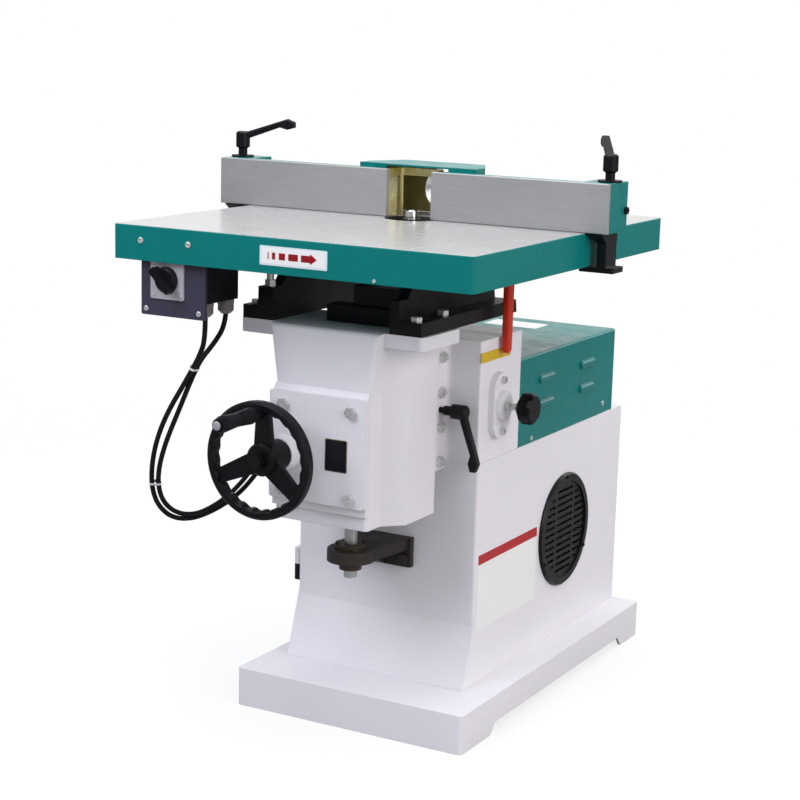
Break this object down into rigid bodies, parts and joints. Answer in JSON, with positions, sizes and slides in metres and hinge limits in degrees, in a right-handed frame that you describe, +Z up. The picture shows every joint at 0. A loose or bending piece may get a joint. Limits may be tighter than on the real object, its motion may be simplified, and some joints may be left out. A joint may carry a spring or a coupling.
{
  "type": "spindle moulder",
  "caption": "Floor-standing spindle moulder with a rising table on a dovetail knee, handwheel lift, split fence with clamp levers, dust hood and belt-driven spindle.",
  "frame": {"origin": "centre of the bounding box at floor level", "axes": "+X along the fence to the right of the operator, +Y from the operator to the back, +Z up"},
  "size_m": [0.758, 1.0456, 1.0014],
  "materials": {
    "cream_paint": "gloss",
    "green_paint": "gloss",
    "black_paint": "satin",
    "black_plastic": "satin",
    "bare_steel": "machined",
    "polished_steel": "polished",
    "fence_alloy": "extruded",
    "yellow_plate": "zinc plated",
    "bronze": "machined",
    "orange_grip": "gloss",
    "grey_paint": "satin",
    "grey_plastic": "satin",
    "cable_rubber": "matte"
  },
  "bodies": {
    "frame": {"base_plinth": "cream_paint", "column_shell": "cream_paint", "vent_grille": "black_paint", "door_hinges": "black_paint", "head_casting": "cream_paint", "slide_gib": "black_paint", "gib_screws": "bare_steel", "lock_flange": "cream_paint", "lock_flange_screws": "bare_steel", "rear_cover": "green_paint", "motor_body": "black_paint", "drive_belt": "cable_rubber", "spindle_bearings": "bare_steel", "spindle_cap": "bare_steel", "lift_bracket": "black_paint", "bracket_bolts": "bare_steel", "lift_nut": "bronze", "column_glands": "grey_plastic"},
    "door": {"access_door": "cream_paint", "door_latch": "black_plastic"},
    "knee": {"knee_casting": "cream_paint", "cover_bolts": "bare_steel", "gear_cover": "cream_paint", "table_arm_left": "black_paint", "table_arm_right": "black_paint", "levelling_stud": "bare_steel", "arm_bolts": "bare_steel", "arm_cross_tie": "black_paint", "table_top": "green_paint", "switch_panel": "grey_paint", "switch_box": "grey_paint", "switch_plate": "bare_steel", "box_glands": "grey_plastic", "cable_a": "cable_rubber", "cable_b": "cable_rubber"},
    "wheel": {"handwheel": "black_plastic", "handwheel_shaft": "bare_steel", "wheel_dial": "black_plastic"},
    "grip": {"handle_grip": "black_plastic"},
    "screw": {"lift_screw": "bare_steel"},
    "spindle": {"spindle_shaft": "polished_steel", "spindle_pulley": "bare_steel"},
    "rotor": {"motor_rotor": "bare_steel"},
    "fence": {"fence_plate_left": "fence_alloy", "fence_plate_right": "fence_alloy", "fence_carrier_left": "green_paint", "fence_carrier_right": "green_paint", "fence_screws": "bare_steel", "dust_hood": "green_paint", "hood_liner": "yellow_plate", "clamp_hook_left": "black_paint", "clamp_hook_right": "black_paint"},
    "left_lever": {"clamp_lever_left": "black_plastic"},
    "right_lever": {"clamp_lever_right": "black_plastic"},
    "slide_lock": {"slide_lock_lever": "black_plastic"},
    "table_clamp": {"table_clamp_lever": "orange_grip", "table_clamp_stud": "bare_steel"},
    "plunger": {"lock_pin": "bare_steel", "star_knob": "black_plastic"},
    "switch": {"switch_knob": "black_plastic"}
  },
  "joints": [
    {"name": "table_lift", "type": "slide", "parent": "frame", "child": "knee", "axis": [0, 0, 1], "range_m": [-0.024, 0.045], "deforming": ["cable_a", "cable_b"]},
    {"name": "handwheel_turn", "type": "hinge", "parent": "knee", "child": "wheel", "pos_m": [-0.048, -0.37225, 0.49], "axis": [0, 1, 0], "range_deg": [-1440, 2700]},
    {"name": "grip_spin", "type": "hinge", "parent": "wheel", "child": "grip", "pos_m": [-0.048, -0.46925, 0.567], "axis": [0, 1, 0], "continuous": true},
    {"name": "lift_screw_turn", "type": "hinge", "parent": "knee", "child": "screw", "pos_m": [0.012, -0.21225, 0.4], "axis": [0, 0, 1], "range_deg": [-1440, 2700]},
    {"name": "motor_spin", "type": "hinge", "parent": "frame", "child": "rotor", "pos_m": [0.012, 0.26775, 0.5], "axis": [0, 0, 1], "continuous": true},
    {"name": "spindle_spin", "type": "hinge", "parent": "frame", "child": "spindle", "pos_m": [0.012, -0.03225, 0.6], "axis": [0, 0, 1], "continuous": true},
    {"name": "fence_slide", "type": "slide", "parent": "knee", "child": "fence", "axis": [0, 1, 0], "range_m": [-0.03, 0.06]},
    {"name": "left_lever_turn", "type": "hinge", "parent": "fence", "child": "left_lever", "pos_m": [-0.357, 0.00375, 0.95], "axis": [0, 0, 1], "range_deg": [0, 90]},
    {"name": "right_lever_turn", "type": "hinge", "parent": "fence", "child": "right_lever", "pos_m": [0.357, 0.00375, 0.95], "axis": [0, 0, 1], "range_deg": [0, 90]},
    {"name": "slide_lock_turn", "type": "hinge", "parent": "frame", "child": "slide_lock", "pos_m": [0.142, -0.11425, 0.545], "axis": [1, 0, 0], "range_deg": [-55, 0]},
    {"name": "table_clamp_turn", "type": "hinge", "parent": "knee", "child": "table_clamp", "pos_m": [0.162, -0.02425, 0.764], "axis": [1, 0, 0], "range_deg": [-60, 45]},
    {"name": "plunger_push", "type": "slide", "parent": "frame", "child": "plunger", "axis": [1, 0, 0], "range_m": [-0.009, 0], "stiffness_N_per_m": 900},
    {"name": "switch_turn", "type": "hinge", "parent": "knee", "child": "switch", "pos_m": [-0.21392, -0.42225, 0.766], "axis": [0, 1, 0], "range_deg": [0, 90]},
    {"name": "door_swing", "type": "hinge", "parent": "frame", "child": "door", "pos_m": [-0.1726, -0.08025, 0.288], "axis": [0, 0, 1], "range_deg": [0, 90]}
  ],
  "couplings": [
    {"joint": "handwheel_turn", "follows": "table_lift", "rad_per_m": 1047.2},
    {"joint": "lift_screw_turn", "follows": "table_lift", "rad_per_m": 1047.2},
    {"joint": "spindle_spin", "follows": "motor_spin", "ratio": 2.3333}
  ]
}
